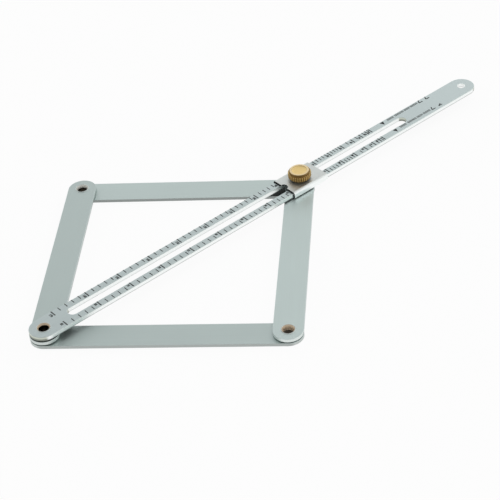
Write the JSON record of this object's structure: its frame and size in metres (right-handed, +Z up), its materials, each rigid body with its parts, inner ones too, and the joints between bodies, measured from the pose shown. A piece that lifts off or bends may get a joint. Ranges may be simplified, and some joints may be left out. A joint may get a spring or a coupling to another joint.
{
  "type": "protractor angle finder",
  "caption": "Rhombus of hinged flat arms on a slotted scale bar with a clamp knob; copies a corner's angle and reads it in degrees.",
  "frame": {"origin": "on the vertex rivet's axis, level with the foot of its tail, which is the surface the tool lies on", "axes": "+X runs along the scale bar from the vertex to the hanging hole; +Z points up out of the numbered face, through the knob; +Y is to the left of +X"},
  "size_m": [0.5177, 0.3082, 0.0242],
  "materials": {
    "scale_aluminium": "satin anodised, with dark printed graduations and plain numbers",
    "arm_aluminium": "satin anodised, fine lengthwise grain",
    "bent_steel": "fine satin",
    "knob_brass": "turned and straight knurled, satin",
    "rivet_brass": "pale nickel-washed, bright rolled rim",
    "plated_steel": "zinc plated",
    "white_nylon": "matte",
    "black_nylon": "matte"
  },
  "bodies": {
    "scale_bar": {"scale_bar": "scale_aluminium", "vertex_rivet": "rivet_brass", "vertex_backing_washer": "plated_steel", "vertex_lower_spacer": "white_nylon", "vertex_upper_spacer": "white_nylon"},
    "left_inner_arm": {"left_inner_arm": "arm_aluminium", "left_rivet": "rivet_brass", "left_backing_washer": "plated_steel", "left_lower_spacer": "white_nylon"},
    "right_inner_arm": {"right_inner_arm": "arm_aluminium", "right_rivet": "rivet_brass", "right_backing_washer": "plated_steel", "right_lower_spacer": "white_nylon"},
    "left_outer_arm": {"left_outer_arm": "arm_aluminium"},
    "right_outer_arm": {"right_outer_arm": "arm_aluminium", "clamp_lower_spacer": "white_nylon"},
    "slider": {"slider_saddle": "bent_steel", "clamp_bolt": "plated_steel", "slot_bush": "black_nylon", "clamp_upper_spacer": "white_nylon"},
    "knob_washer": {"knob_washer": "plated_steel"},
    "clamp_knob": {"clamp_knob": "knob_brass"}
  },
  "joints": [
    {"name": "left_arm_swing", "type": "hinge", "parent": "scale_bar", "child": "left_inner_arm", "pos_m": [0, 0, 0.0074], "axis": [0, 0, 1], "range_deg": [-40, 40]},
    {"name": "right_arm_swing", "type": "hinge", "parent": "scale_bar", "child": "right_inner_arm", "pos_m": [0, 0, 0.0033], "axis": [0, 0, 1], "range_deg": [-40, 40]},
    {"name": "left_elbow", "type": "hinge", "parent": "left_inner_arm", "child": "left_outer_arm", "pos_m": [0.14142, 0.14142, 0.0033], "axis": [0, 0, 1], "range_deg": [-80, 80]},
    {"name": "right_elbow", "type": "hinge", "parent": "right_inner_arm", "child": "right_outer_arm", "pos_m": [0.14142, -0.14142, 0.0074], "axis": [0, 0, 1], "range_deg": [-80, 80]},
    {"name": "slider_pivot", "type": "hinge", "parent": "right_outer_arm", "child": "slider", "pos_m": [0.28284, 0, 0.0074], "axis": [0, 0, 1], "range_deg": [-40, 40]},
    {"name": "knob_rise", "type": "slide", "parent": "slider", "child": "knob_washer", "axis": [0, 0, 1], "range_m": [0, 0.001]},
    {"name": "knob_turn", "type": "hinge", "parent": "knob_washer", "child": "clamp_knob", "pos_m": [0.28284, 0, 0.0203], "axis": [0, 0, 1], "range_deg": [0, 360]}
  ],
  "couplings": [
    {"joint": "right_arm_swing", "follows": "left_arm_swing", "ratio": -1},
    {"joint": "left_elbow", "follows": "left_arm_swing", "ratio": -2},
    {"joint": "right_elbow", "follows": "left_arm_swing", "ratio": 2},
    {"joint": "slider_pivot", "follows": "left_arm_swing", "ratio": -1},
    {"joint": "knob_turn", "follows": "knob_rise", "rad_per_m": 6283.2}
  ]
}
